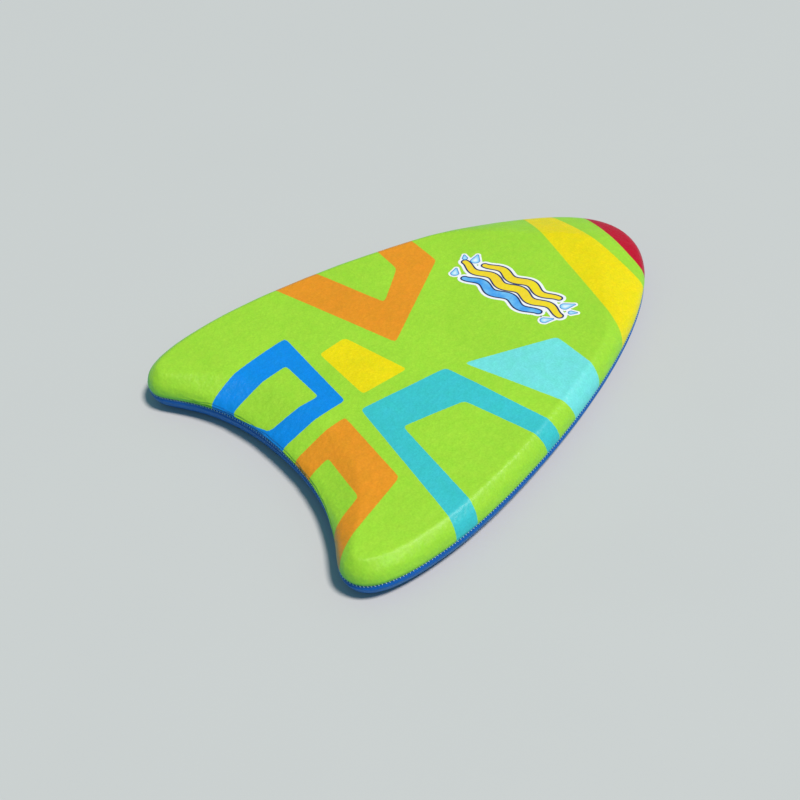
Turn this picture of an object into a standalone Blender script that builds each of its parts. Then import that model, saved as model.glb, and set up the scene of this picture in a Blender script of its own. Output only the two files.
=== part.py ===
"""Child's kickboard: a moulded foam core in a sewn two-panel fabric cover.

Metres. +Y points to the nose, +X to the right, +Z up. The origin is on the resting
plane, below the centre of the board.
"""
import math

import bmesh
import bpy
from mathutils import Vector

MM = 0.001

# Overall size of the board
LENGTH = 420 * MM
HALF_WIDTH = 160 * MM
THICKNESS = 35 * MM
SEAM_Z = THICKNESS / 2

# Right half of the plan outline: nose, widest point, lobe end, centre of the tail notch
WIDEST_Y = -133 * MM
LOBE_X = 129 * MM
NOTCH_DEPTH = 39 * MM
NOSE_HANDLE = 97 * MM
SIDE_HANDLE_FORE = 89 * MM
SIDE_HANDLE_AFT = 41 * MM
LOBE_HANDLE_OUT = 26 * MM
LOBE_HANDLE_IN = 19 * MM
NOTCH_HANDLE = 91 * MM
NOSE_STEPS = 21
LOBE_STEPS = 9
NOTCH_STEPS = 10

# Edge section above the seam, one per zone, in millimetres and degrees: where the edge
# roll ends (inset and height), the slope there, the width of the whole edge, and the reach
# of the four curve handles. A zone is where its section fades in, from none to full.
SIDE_EDGE = dict(roll_in=5.3, roll_z=30.6, slope=42.5, width=12.5, reach=(5.2, 4.9, 3.0, 2.4))
NOSE_EDGE = dict(roll_in=7.0, roll_z=26.5, slope=18.0, width=40.0, reach=(6.0, 4.0, 12.0, 3.0))
TAIL_EDGE = dict(roll_in=4.0, roll_z=25.0, slope=23.0, width=33.0, reach=(5.6, 1.8, 10.0, 2.0))
NOSE_ZONE = (80 * MM, 180 * MM)
TAIL_ZONE = (128 * MM, 50 * MM)

# Width of the rounded edge below the seam, in millimetres
UNDER_WIDTH_SIDE = 16.0
UNDER_WIDTH_TAIL = 9.0

# Facets of the edge section
ROLL_STEPS = 4
BEVEL_STEPS = 3
UNDER_STEPS = 6

# Cover and the clearances inside it
CLOTH = 1.0 * MM
GAP = 0.3 * MM
FOLD_RADIUS = 1.5 * MM
FOLD_STEPS = 3
ALLOWANCE = 8.0 * MM

# Sewing threads
THREAD_RADIUS = 0.25 * MM
SEAM_THREAD_INSET = 0.3 * MM
OVERLOCK_INSET = 5.5 * MM
CLOSING_Z = 21.0 * MM
CLOSING_STEPS = 8
CHANNEL_HALF_HEIGHT = GAP / 2 + CLOTH + GAP + 2 * THREAD_RADIUS + GAP

# Emblem on the top face: a plaque whose middle line is a wave that rises to the right
EMBLEM_HALF_LENGTH = 66 * MM
EMBLEM_HALF_HEIGHT = 22 * MM
EMBLEM_CENTRE_Y = 75 * MM
EMBLEM_WAVE = 4 * MM
EMBLEM_RISE = 0.12
EMBLEM_ROUNDNESS = 2.6
EMBLEM_THICKNESS = 0.3 * MM
EMBLEM_STEPS = 48


def clear_scene():
    for thing in list(bpy.data.objects):
        bpy.data.objects.remove(thing, do_unlink=True)


def material(name, colour, roughness, metallic=0.0):
    made = bpy.data.materials.new(name)
    made.use_nodes = True
    made.diffuse_color = (*colour, 1.0)
    shader = made.node_tree.nodes["Principled BSDF"]
    shader.inputs["Base Color"].default_value = (*colour, 1.0)
    shader.inputs["Roughness"].default_value = roughness
    shader.inputs["Metallic"].default_value = metallic
    return made


def cubic(start, first, second, end, steps):
    """Points of a cubic curve with their tangents, without the end point."""
    found = []
    for i in range(steps):
        t = i / steps
        s = 1 - t
        point = start * s ** 3 + first * 3 * s * s * t + second * 3 * s * t * t + end * t ** 3
        tangent = (first - start) * s * s + (second - first) * 2 * s * t + (end - second) * t * t
        found.append((point, tangent.normalized()))
    return found


def smooth(value):
    value = min(max(value, 0.0), 1.0)
    return value * value * (3 - 2 * value)


def outline():
    """Seam line in plan, clockwise from the nose: points, inward normals and zone weights."""
    nose = Vector((0, LENGTH / 2))
    widest = Vector((HALF_WIDTH, WIDEST_Y))
    lobe = Vector((LOBE_X, -LENGTH / 2))
    notch = Vector((0, NOTCH_DEPTH - LENGTH / 2))
    across = Vector((1, 0))
    along = Vector((0, 1))
    half = cubic(nose, nose + across * NOSE_HANDLE, widest + along * SIDE_HANDLE_FORE, widest, NOSE_STEPS)
    half += cubic(widest, widest - along * SIDE_HANDLE_AFT, lobe + across * LOBE_HANDLE_OUT, lobe, LOBE_STEPS)
    half += cubic(lobe, lobe - across * LOBE_HANDLE_IN, notch + across * NOTCH_HANDLE, notch, NOTCH_STEPS)
    half.append((notch, -across))
    left = [(Vector((-p.x, p.y)), Vector((t.x, -t.y))) for p, t in reversed(half[1:-1])]
    stations = []
    for point, tangent in half + left:
        inward = Vector((tangent.y, -tangent.x))
        fore = smooth((point.y - NOSE_ZONE[0]) / (NOSE_ZONE[1] - NOSE_ZONE[0]))
        aft = 0.0
        if inward.y > 0 and point.y < WIDEST_Y:
            aft = smooth((TAIL_ZONE[0] - abs(point.x)) / (TAIL_ZONE[0] - TAIL_ZONE[1]))
        stations.append((point, inward, fore, aft))
    return stations


def blend(key, fore, aft):
    return SIDE_EDGE[key] * (1 - fore - aft) + NOSE_EDGE[key] * fore + TAIL_EDGE[key] * aft


def blend_reach(index, fore, aft):
    side, nose, tail = (zone["reach"][index] for zone in (SIDE_EDGE, NOSE_EDGE, TAIL_EDGE))
    return side * (1 - fore - aft) + nose * fore + tail * aft


def upper_section(fore, aft):
    """Edge profile from the seam to the flat top, as (inset, height) in millimetres."""
    angle = math.radians(blend("slope", fore, aft))
    slope = Vector((math.cos(angle), math.sin(angle)))
    foot = Vector((0, SEAM_Z / MM))
    roll = Vector((blend("roll_in", fore, aft), blend("roll_z", fore, aft)))
    crest = Vector((blend("width", fore, aft), THICKNESS / MM))
    reach = [blend_reach(i, fore, aft) for i in range(4)]
    points = cubic(foot, foot + Vector((0, reach[0])), roll - slope * reach[1], roll, ROLL_STEPS)
    points += cubic(roll, roll + slope * reach[2], crest - Vector((reach[3], 0)), crest, BEVEL_STEPS)
    return points + [(crest, Vector((1, 0)))]


def lower_section(aft):
    """Edge profile from the seam to the flat underside, a quarter ellipse."""
    width = UNDER_WIDTH_SIDE * (1 - aft) + UNDER_WIDTH_TAIL * aft
    depth = SEAM_Z / MM
    points = []
    for i in range(UNDER_STEPS + 1):
        angle = math.pi / 2 * i / UNDER_STEPS
        point = Vector((width * (1 - math.cos(angle)), depth * (1 - math.sin(angle))))
        tangent = Vector((width * math.sin(angle), -depth * math.cos(angle))).normalized()
        points.append((point, tangent))
    return points


def inset_section(section, distance, side):
    """Profile without its point at the seam, moved into the board by a distance.

    The side is 1 above the seam and -1 below it.
    """
    moved = []
    for point, tangent in section[1:]:
        normal = Vector((tangent.y, -tangent.x)) * side
        moved.append((point + normal * distance / MM) * MM)
    return moved


def fold_arc(side):
    """Rounded turn from the outside of a panel to its allowance, ending on the parting gap."""
    centre = Vector((FOLD_RADIUS, SEAM_Z + side * (FOLD_RADIUS + GAP / 2)))
    points = []
    for i in range(FOLD_STEPS + 1):
        angle = math.pi / 2 * i / FOLD_STEPS
        points.append(centre - FOLD_RADIUS * Vector((math.sin(angle), side * math.cos(angle))))
    return points


def panel_section(section, side):
    """Closed run of one cover panel: inner face, allowance, fold, outer face."""
    outer = inset_section(section, 0.0, side)
    inner = inset_section(section, CLOTH, side)
    parting = SEAM_Z + side * GAP / 2
    allowance_back = parting + side * CLOTH
    run = list(reversed(inner))
    run.append(Vector((CLOTH, allowance_back)))
    run.append(Vector((ALLOWANCE, allowance_back)))
    run.append(Vector((ALLOWANCE, parting)))
    return run + fold_arc(side) + outer


def core_section(fore, aft):
    """Foam profile, upper face to lower face, with the channel for the allowances."""
    depth = ALLOWANCE + GAP
    run = list(reversed(inset_section(upper_section(fore, aft), CLOTH + GAP, 1)))
    run.append(Vector((CLOTH + GAP, SEAM_Z + CHANNEL_HALF_HEIGHT)))
    run.append(Vector((depth, SEAM_Z + CHANNEL_HALF_HEIGHT)))
    run.append(Vector((depth, SEAM_Z - CHANNEL_HALF_HEIGHT)))
    run.append(Vector((CLOTH + GAP, SEAM_Z - CHANNEL_HALF_HEIGHT)))
    return run + inset_section(lower_section(aft), CLOTH + GAP, -1)


def place(station, inset_and_height):
    point, inward = station[:2]
    plan = point + inward * inset_and_height.x
    return Vector((plan.x, plan.y, inset_and_height.y))


def loft(name, stations, runs, made):
    """Closed body through the runs of all stations, capped at the first and last ring."""
    mesh = bmesh.new()
    columns = [[mesh.verts.new(place(s, p)) for p in run] for s, run in zip(stations, runs)]
    for here, there in zip(columns, columns[1:] + columns[:1]):
        for i in range(len(here) - 1):
            mesh.faces.new((here[i], there[i], there[i + 1], here[i + 1]))
    caps = [mesh.faces.new([column[end] for column in columns]) for end in (0, -1)]
    bmesh.ops.recalc_face_normals(mesh, faces=mesh.faces)
    bmesh.ops.triangulate(mesh, faces=caps)
    return finish(name, mesh, made)


def finish(name, mesh, made):
    data = bpy.data.meshes.new(name)
    for face in mesh.faces:
        face.smooth = True
    mesh.to_mesh(data)
    mesh.free()
    data.materials.append(made)
    thing = bpy.data.objects.new(name, data)
    bpy.context.collection.objects.link(thing)
    return thing


def thread(name, points, closed, made):
    """Round thread laid along a path."""
    curve = bpy.data.curves.new(name, "CURVE")
    curve.dimensions = "3D"
    curve.bevel_depth = THREAD_RADIUS
    curve.bevel_resolution = 1
    curve.use_fill_caps = True
    spline = curve.splines.new("POLY")
    spline.points.add(len(points) - 1)
    for target, point in zip(spline.points, points):
        target.co = (*point, 1.0)
    spline.use_cyclic_u = closed
    spline.use_smooth = True
    curve.materials.append(made)
    thing = bpy.data.objects.new(name, curve)
    bpy.context.collection.objects.link(thing)
    return thing


def seam_path(stations, inset, height):
    return [place(station, Vector((inset, height))) for station in stations]


def wall_inset(fore, aft, height):
    """Inset of the outer face of the top panel at a height on the edge."""
    profile = [p * MM for p, _ in upper_section(fore, aft)]
    for low, high in zip(profile, profile[1:]):
        if low.y <= height <= high.y:
            return low.x + (high.x - low.x) * (height - low.y) / (high.y - low.y)
    return profile[-1].x


def closing_path(stations):
    """Line just outside the tail wall, from one side of the notch to the other."""
    middle = NOSE_STEPS + LOBE_STEPS + NOTCH_STEPS
    path = []
    for station in stations[middle - CLOSING_STEPS:middle + CLOSING_STEPS + 1]:
        surface = wall_inset(station[2], station[3], CLOSING_Z)
        path.append(place(station, Vector((surface - GAP - THREAD_RADIUS, CLOSING_Z))))
    return path


def emblem(made):
    """Thin transfer film with rounded ends, lying just above the flat top."""
    mesh = bmesh.new()
    ring = []
    power = 2 / EMBLEM_ROUNDNESS
    for i in range(EMBLEM_STEPS):
        angle = 2 * math.pi * i / EMBLEM_STEPS
        c = math.cos(angle)
        s = math.sin(angle)
        x = EMBLEM_HALF_LENGTH * math.copysign(abs(c) ** power, c)
        y = EMBLEM_HALF_HEIGHT * math.copysign(abs(s) ** power, s)
        y += EMBLEM_CENTRE_Y + EMBLEM_RISE * x
        y += EMBLEM_WAVE * math.sin(math.pi * x / EMBLEM_HALF_LENGTH)
        ring.append(mesh.verts.new((x, y, THICKNESS + GAP)))
    face = mesh.faces.new(ring)
    grown = bmesh.ops.extrude_face_region(mesh, geom=[face])["geom"]
    lifted = [item for item in grown if isinstance(item, bmesh.types.BMVert)]
    bmesh.ops.translate(mesh, verts=lifted, vec=(0, 0, EMBLEM_THICKNESS))
    bmesh.ops.recalc_face_normals(mesh, faces=mesh.faces)
    flat = [item for item in mesh.faces if len(item.verts) > 4]
    bmesh.ops.triangulate(mesh, faces=flat)
    return finish("emblem_transfer", mesh, made)


def build():
    clear_scene()
    stations = outline()
    uppers = [upper_section(fore, aft) for _, _, fore, aft in stations]
    lowers = [lower_section(aft) for _, _, _, aft in stations]
    print_cloth = material("print_cloth", (0.34, 0.72, 0.05), 0.62)
    plain_cloth = material("plain_cloth", (0.02, 0.12, 0.45), 0.66)
    foam = material("foam", (0.92, 0.92, 0.90), 0.85)
    light_thread = material("light_thread", (0.75, 0.86, 0.92), 0.55)
    dark_thread = material("dark_thread", (0.03, 0.10, 0.30), 0.60)
    green_thread = material("green_thread", (0.10, 0.32, 0.04), 0.60)
    film = material("film", (0.93, 0.95, 0.97), 0.35)

    loft("foam_core", stations, [core_section(fore, aft) for _, _, fore, aft in stations], foam)
    loft("cover_top_panel", stations, [panel_section(s, 1) for s in uppers], print_cloth)
    loft("cover_bottom_panel", stations, [panel_section(s, -1) for s in lowers], plain_cloth)

    above = GAP / 2 + CLOTH + GAP + THREAD_RADIUS
    thread("seam_thread", seam_path(stations, SEAM_THREAD_INSET, SEAM_Z), True, light_thread)
    upper_path = seam_path(stations, OVERLOCK_INSET, SEAM_Z + above)
    lower_path = seam_path(stations, OVERLOCK_INSET, SEAM_Z - above)
    thread("overlock_thread_upper", upper_path, True, green_thread)
    thread("overlock_thread_lower", lower_path, True, dark_thread)
    thread("tail_closing_thread", closing_path(stations), False, green_thread)
    emblem(film)


build()
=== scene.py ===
import math
from collections import namedtuple

import bpy
import numpy as np
from mathutils import Matrix, Vector
from mathutils.bvhtree import BVHTree


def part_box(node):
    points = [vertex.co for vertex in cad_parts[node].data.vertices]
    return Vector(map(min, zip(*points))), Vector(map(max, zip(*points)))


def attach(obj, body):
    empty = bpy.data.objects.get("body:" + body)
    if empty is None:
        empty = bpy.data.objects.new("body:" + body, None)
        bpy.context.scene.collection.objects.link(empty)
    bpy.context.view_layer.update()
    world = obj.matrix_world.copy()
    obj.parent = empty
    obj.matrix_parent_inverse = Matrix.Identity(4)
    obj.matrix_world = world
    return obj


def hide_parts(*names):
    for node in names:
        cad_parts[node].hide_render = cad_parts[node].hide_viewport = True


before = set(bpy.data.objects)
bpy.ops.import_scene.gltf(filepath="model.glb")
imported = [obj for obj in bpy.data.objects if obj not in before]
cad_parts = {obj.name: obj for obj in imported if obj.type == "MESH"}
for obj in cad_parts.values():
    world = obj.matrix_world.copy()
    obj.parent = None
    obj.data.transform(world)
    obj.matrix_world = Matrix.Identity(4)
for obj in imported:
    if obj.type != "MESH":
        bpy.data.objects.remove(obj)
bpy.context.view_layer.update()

MM = 0.001

# Sizes that the frame gives
TOP_LOW, TOP_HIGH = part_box("cover_top_panel")
UNDER_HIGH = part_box("cover_bottom_panel")[1]
HALF_LENGTH = TOP_HIGH.y
HALF_WIDTH = TOP_HIGH.x
DECK_Z = TOP_HIGH.z
SEAM_Z = (TOP_LOW.z + UNDER_HIGH.z) / 2
PARTING = TOP_LOW.z - SEAM_Z
CENTRE = Vector((0, 0, DECK_Z / 2))

# Right half of the plan outline, as in the solids: nose, widest point, lobe end, notch centre
WIDEST_Y = -133 * MM
LOBE_X = 129 * MM
NOTCH_DEPTH = 39 * MM
NOSE_HANDLE = 97 * MM
SIDE_HANDLE_FORE = 89 * MM
SIDE_HANDLE_AFT = 41 * MM
LOBE_HANDLE_OUT = 26 * MM
LOBE_HANDLE_IN = 19 * MM
NOTCH_HANDLE = 91 * MM

# Edge sections in millimetres and degrees: end of the edge roll, slope there, width, handles.
# The tail's roll is a little higher and further in than the solid's, as its folded hem is.
SIDE_EDGE = dict(roll_in=5.3, roll_z=30.6, slope=42.5, width=12.5, reach=(5.2, 4.9, 3.0, 2.4))
NOSE_EDGE = dict(roll_in=7.0, roll_z=26.5, slope=18.0, width=40.0, reach=(6.0, 4.0, 12.0, 3.0))
TAIL_EDGE = dict(roll_in=5.4, roll_z=26.3, slope=19.5, width=33.0, reach=(6.8, 1.5, 10.0, 2.0))
NOSE_ZONE = (80 * MM, 180 * MM)
TAIL_ZONE = (128 * MM, 50 * MM)
UNDER_WIDTH_SIDE = 16 * MM
UNDER_WIDTH_TAIL = 9 * MM
CLOTH = 1.0 * MM
FOLD_RADIUS = 1.5 * MM
ALLOWANCE = 8.0 * MM

# Mesh density: stations round the board, rows down the edge and across the faces
STATIONS = 720
CURVE_STEPS = 160
PROFILE_STEPS = 40
NEAR_ROWS = 17
NEAR_PITCH = 0.42 * MM
FAR_ROWS = 13
FIELD_ROWS = 88
FOLD_ROWS = 5
INNER_EDGE_ROWS = 5
INNER_FIELD_ROWS = 2
SPINE_FORE = 120 * MM
SPINE_AFT = -95 * MM
SPINE_CROWDING = 0.7

# Relief of the cloth, whose outer face may sink by less than its thickness
DEEPEST = 0.85 * MM
# Broad swell of the faces
SWELL = 0.22 * MM
SWELL_PITCH = 60 * MM
SWELL_START = 30 * MM
# Puckers at the seam, one for each two stitches, that stray from them and vary in height
STITCH_PITCH = 2.7 * MM
PUCKER = 0.16 * MM
PUCKER_FADE = 4.5 * MM
PUCKER_STRAY = 2.2
PUCKER_STRAY_PITCH = 26 * MM
PUCKER_UNEVEN = 0.45
PUCKER_UNEVEN_PITCH = 45 * MM
PULL_IN = 0.25 * MM
PULL_FADE = 3 * MM
# Folds along the tail wall, and the grooves in them: height off the middle, depth, half width, seed
HEM_Z = 21.25 * MM
HEM_REACH = 110 * MM
HEM_FADE = 25 * MM
HEM_ROLL = 0.55 * MM
HEM_ROLL_SPREAD = 3
HEM_WANDER = 0.4 * MM
HEM_WANDER_PITCH = 22 * MM
HEM_UNEVEN = 0.2
HEM_UNEVEN_PITCH = 9 * MM
HEM_GROOVES = ((-0.7 * MM, 1.9 * MM, 0.75 * MM, 31), (1.3 * MM, 0.9 * MM, 0.5 * MM, 37))
# Gathers in the bevel above the folds, straight up it or crumpled
GATHER = 0.20 * MM
GATHER_PITCH = 11 * MM
GATHER_MIDDLE = 12 * MM
GATHER_WIDTH = 9 * MM
GATHER_STRAIGHT = 0.6

# Random heights: sine waves in each sum, spread of their pitches, and the seeds
WAVES_SUMMED = 9
PITCH_SPREAD = (0.6, 1.6)
TOP_SEEDS = dict(swell=5, seam=11, cut=42)
UNDER_SEEDS = dict(swell=6, seam=17, cut=40)
STRAIGHT_SEED = 51
CRUMPLED_SEED = 52
STITCH_SEED = 3
CLOSING_SEED = 8

# Cloth simulation of the slack and tight places of the cover
SIM_STRIDE = 3
SIM_ROWS = 40
SIM_FRAMES = 16
SIM_CLEARANCE = 1.0 * MM
SIM_FRICTION = 5.0
SIM_COLLISION_QUALITY = 3
SIM_PITCH = 45 * MM
SIM_CAP = 1.0 * MM
SINK_LIMIT = 0.3 * MM
SIM_CLOTH = dict(
    quality=6,
    mass=0.25,
    tension_stiffness=20,
    compression_stiffness=20,
    shear_stiffness=8,
    bending_stiffness=0.05,
    shrink_min=-0.012,
    shrink_max=0.004,
    use_pressure=True,
    uniform_pressure_force=0.3,
)

# Thread, and the stitches across the seam
THREAD_RADIUS = 0.26 * MM
THREAD_END_POWER = 6
THREAD_END_WIDTH = 0.12
STITCH_SIDES = 8
STITCH_STEPS = 7
STITCH_INSET = 0.35 * MM
STITCH_HALF_HEIGHT = 1.05 * MM
STITCH_LEAN = 0.35 * MM
STITCH_BOW = 0.22 * MM
STITCH_DIVE = 0.9 * MM
STITCH_SCATTER = 0.12 * MM
# Hand stitches that close the tail
CLOSING_REACH = 80 * MM
CLOSING_PITCH = 3.6 * MM
CLOSING_HALF_LENGTH = 1.3 * MM
CLOSING_LENGTHS = (0.85, 1.1)
CLOSING_SINK = 0.5 * MM
CLOSING_SCATTER = 0.3 * MM
CLOSING_LEAN = 0.25 * MM
WALL_SEARCH = 20 * MM

# Cover colours, linear
LIME = (0.350, 0.712, 0.040)
ORANGE = (0.800, 0.305, 0.016)
BLUE = (0.002, 0.258, 0.810)
YELLOW = (0.845, 0.720, 0.002)
TURQUOISE = (0.045, 0.550, 0.605)
CYAN = (0.170, 0.750, 0.740)
CRIMSON = (0.500, 0.002, 0.026)
ROYAL = (0.002, 0.115, 0.500)
NAVY = (0.008, 0.020, 0.120)
# Emblem and thread colours
WHITE = (0.90, 0.92, 0.95)
WHITE_SHADE = (0.82, 0.86, 0.92)
WATER = (0.22, 0.60, 0.90)
WATER_PALE = (0.78, 0.90, 0.97)
GOLD = (0.86, 0.62, 0.03)
LIGHT_THREAD = (0.62, 0.78, 0.88)
GREEN_THREAD = (0.05, 0.17, 0.02)
DARK_THREAD = (0.03, 0.10, 0.30)
# Foam colours
FOAM = (0.93, 0.93, 0.91)
FOAM_SHADE = (0.86, 0.87, 0.86)
FOAM_SEAM = (0.70, 0.71, 0.70)

# Corners of the print: radius, softness of the rounding for that radius, limit of its powers
PRINT_CORNER = 3.2
CORNER_SOFTNESS = 0.42
LARGEST_POWER = 60
# Printed shapes in millimetres of cloth from the board's centre: corners, and corners of the hole
ORANGE_CHEVRON = (
    [(-175, -78), (-18, -38), (-74, 55), (-160, 61)],
    [(-180, -42), (-63, -13), (-90, 23), (-180, 33)],
)
ORANGE_ARCH = (
    [(20, -121), (97, -130), (128, -235), (20, -235)],
    [(41, -155), (90, -163), (103, -235), (42, -235)],
)
BLUE_RING = (
    [(-87, -101), (8, -110), (6, -137), (6, -230), (-70, -230), (-78, -184), (-85, -157)],
    [(-60, -120), (-13, -122), (-18, -170), (-56, -181)],
)
YELLOW_PATCH = ([(-52, -65), (13, -52), (10, -95), (-51, -92)], None)
TURQUOISE_BAND = (
    [(34, -29), (22, -107), (200, -136), (200, 4)],
    [(72, -43), (59, -95), (200, -113), (200, -12)],
)
CYAN_WEDGE = ([(40, -15), (71, 59), (200, 54), (200, 36)], None)
# Nose stripes as (height on the centre line, rise to the right)
YELLOW_START = (135.6, -0.306)
YELLOW_END = (173.0, -0.09)
CRIMSON_START = (191.0, -0.20)
# Soft edge of the ink, and how far it strays along the loops
INK_SOFT = 0.22
INK_STRAY = 0.28
INK_STRAY_PITCH = 0.9 * MM
INK_NOISE = (0.25, 0.75)

# Emblem: cut film with waves and drops, in millimetres from its own centre
EMBLEM_CENTRE = (0.0, 75.0)
EMBLEM_RISE = 0.12
EMBLEM_HALF = (66.0, 24.0)
EMBLEM_CELL = 0.6
EMBLEM_LEAST_SLOPE = 0.3
EMBLEM_HALO = 2.2
EMBLEM_LINE = 1.4
EMBLEM_DROP_LINE = 0.6
EMBLEM_SOFT = 0.15
EMBLEM_FILM = 0.12 * MM
# Strokes: height, half length, half width. Drops: place, radius, lean, mirrored to both sides
WAVE_HEIGHT = 2.6
WAVE_PITCH = 31
WAVE_POINTS = 180
STROKE_TAPER = 0.45
YELLOW_STROKES = ((12.0, 38, 3.8), (0.0, 54, 4.0))
BLUE_STROKES = ((-12.0, 38, 3.8),)
DROP_LENGTH = 2.1
DROP_TAPER = 0.85
DROP_PALE = (-3.0, -0.5)
EMBLEM_DROPS = ((49, 9.5, 3.7, 0.5), (58, 6.5, 2.1, 0.9), (49, -14.5, 3.2, 0.6))

# Cloth finish: pitches and depths of the knit, the foam beads under it and fine crumples
KNIT_PITCH = 0.75 * MM
KNIT_ASPECT = 0.8
COURSE_SHARE = 0.35
WALE_SHARE = 2.0
LOOP_DEPTH = 0.10 * MM
BEAD_PITCH = 4.2 * MM
BEAD_DEPTH = 0.6 * MM
BEAD_SMOOTHNESS = 0.7
CRUMPLE_PITCH = 2.4 * MM
CRUMPLE_DEPTH = 0.45 * MM
RELIEF_STRENGTH = 0.5
CLOTH_ROUGHNESS = (0.31, 0.42)
RUB_PITCH = 22 * MM
RUB_NOISE = (0.35, 0.75)
CLOTH_FINISH = {"Sheen Weight": 0.02, "Sheen Roughness": 0.4, "IOR": 1.37}
# Shade of the cloth, as factors: clouds of a pitch, then painted shade by the height of the loops and beads,
# darker in the low parts of the knit loops and between the foam beads
CLOUD_NOISE = (0.3, 0.7)
DYE = (70 * MM, 0.955, 1.035)
GRAIN = (1.6 * MM, 0.925, 1.06)
BLEACH = (9 * MM, 0.95, 1.05)
LOOP_HEIGHTS = (-0.3, 1.2)
LOOP_PAINTED_SHADE = (0.93, 1.02)
BEAD_HEIGHTS = (0.1, 0.6)
BEAD_PAINTED_SHADE = (1.02, 0.965)
NAVY_CLOUDS = (33 * MM, 0.0, 0.15)

# Finish of the thread, foam, film and floor
TWIST_SCALE = 700.0
TWIST_WARP = 2.0
TWIST_DEPTH = 0.08 * MM
TWIST_STRENGTH = 0.6
FUZZ_PITCH = 0.3 * MM
FUZZ_SHADE = 0.35
THREAD_DARKER = 0.6
THREAD_ROUGHNESS = (0.45, 0.62)
THREAD_SHEEN = {"Sheen Weight": 0.3}
FOAM_CLOUD_PITCH = 50 * MM
FOAM_SEAM_WIDTH = 0.08
FOAM_CELL_REACH = 0.4
FOAM_SEAM_DEPTH = 0.2 * MM
FOAM_ROUGHNESS = (0.75, 0.9)
FILM_CLOUD_PITCH = 16 * MM
FILM_ROUGHNESS = (0.34, 0.46)
FLOOR_SIZE = 60
FLOOR = (0.54, 0.565, 0.57)
FLOOR_BOUNCE = (0.26, 0.52, 0.58)
FLOOR_DARKER = 0.985
FLOOR_CLOUD_PITCH = 170 * MM
FLOOR_GRAIN_PITCH = 2 * MM
FLOOR_GRAIN_DEPTH = 0.1 * MM
FLOOR_GRAIN_STRENGTH = 0.2
FLOOR_ROUGHNESS = (0.72, 0.82)

# Camera and light
CAMERA_AZIMUTH = 51.68
CAMERA_ELEVATION = 43.06
CAMERA_ROLL = 6.84
CAMERA_DISTANCE = 1.0317
CAMERA_LENS = 55.4
CAMERA_AIM = (-42.05 * MM, -41.66 * MM)
LIGHT_TOWARDS = (0.38, 0.18, 0.907)
LIGHT_SPREAD = 12
LIGHT_STRENGTH = 3.45
LIGHT_COLOUR = (1.0, 0.89, 0.84)
# World as seen by the camera, by diffuse light and by reflections
BACKDROP = (0.50, 0.53, 0.55)
FILL = (0.110, 0.245, 0.280)
SHINE = (0.100, 0.125, 0.135)

Line = namedtuple("Line", "point inward fore aft along length")


# ---- numbers

def smooth(value):
    value = np.clip(value, 0.0, 1.0)
    return value * value * (3 - 2 * value)


def unit(vectors):
    return vectors / np.linalg.norm(vectors, axis=-1, keepdims=True)


def cubic(start, first, second, end, t):
    """Points and tangents of cubic curves at parameters t; the controls may be stacks."""
    s = 1 - t
    points = start * s ** 3 + first * 3 * s * s * t + second * 3 * s * t * t + end * t ** 3
    return points, (first - start) * s * s + (second - first) * 2 * s * t + (end - second) * t * t


def run_length(points):
    """Distance from the first point to each point along the last axis but one."""
    steps = np.linalg.norm(np.diff(points, axis=-2), axis=-1)
    return np.concatenate([np.zeros(steps.shape[:-1] + (1,)), np.cumsum(steps, axis=-1)], axis=-1)


def at_lengths(lengths, columns, wanted):
    return np.stack([np.interp(wanted, lengths, column) for column in columns.T], axis=-1)


def waves(points, pitch, seed):
    """Smooth random height of about -1 to 1: sine waves of mixed directions near one pitch."""
    rng = np.random.default_rng(seed)
    total = np.zeros(points.shape[:-1])
    for _ in range(WAVES_SUMMED):
        heading = rng.uniform(0, 2 * math.pi)
        scale = 2 * math.pi / (pitch * rng.uniform(*PITCH_SPREAD))
        phase = rng.uniform(0, 2 * math.pi)
        way = points[..., 0] * math.cos(heading) + points[..., 1] * math.sin(heading)
        total += np.sin(scale * way + phase)
    return total / math.sqrt(2 * WAVES_SUMMED)


# ---- shape of the board, by the same formulas as the solids but for the tail's roll

def seam_line(count):
    """Evenly spaced stations on the seam line in plan, clockwise from the nose."""
    nose = np.array((0, HALF_LENGTH))
    widest = np.array((HALF_WIDTH, WIDEST_Y))
    lobe = np.array((LOBE_X, -HALF_LENGTH))
    notch = np.array((0, NOTCH_DEPTH - HALF_LENGTH))
    across = np.array((1, 0))
    up = np.array((0, 1))
    t = np.linspace(0, 1, CURVE_STEPS)[:, None]
    runs = [
        cubic(nose, nose + across * NOSE_HANDLE, widest + up * SIDE_HANDLE_FORE, widest, t),
        cubic(widest, widest - up * SIDE_HANDLE_AFT, lobe + across * LOBE_HANDLE_OUT, lobe, t),
        cubic(lobe, lobe - across * LOBE_HANDLE_IN, notch + across * NOTCH_HANDLE, notch, t),
    ]
    point = np.concatenate([run[0] for run in runs])
    tangent = np.concatenate([unit(run[1]) for run in runs])
    length = run_length(point)
    even = np.linspace(0, length[-1], count // 2 + 1)
    point = at_lengths(length, point, even)
    tangent = unit(at_lengths(length, tangent, even))
    point = np.concatenate([point, point[-2:0:-1] * (-1, 1)])
    tangent = np.concatenate([tangent, tangent[-2:0:-1] * (1, -1)])
    inward = np.stack([tangent[:, 1], -tangent[:, 0]], axis=1)
    fore = smooth((point[:, 1] - NOSE_ZONE[0]) / (NOSE_ZONE[1] - NOSE_ZONE[0]))
    aft = smooth((TAIL_ZONE[0] - abs(point[:, 0])) / (TAIL_ZONE[0] - TAIL_ZONE[1]))
    aft = np.where((inward[:, 1] > 0) & (point[:, 1] < WIDEST_Y), aft, 0.0)
    return Line(point, inward, fore, aft, np.arange(count) * 2 * length[-1] / count, 2 * length[-1])


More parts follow.
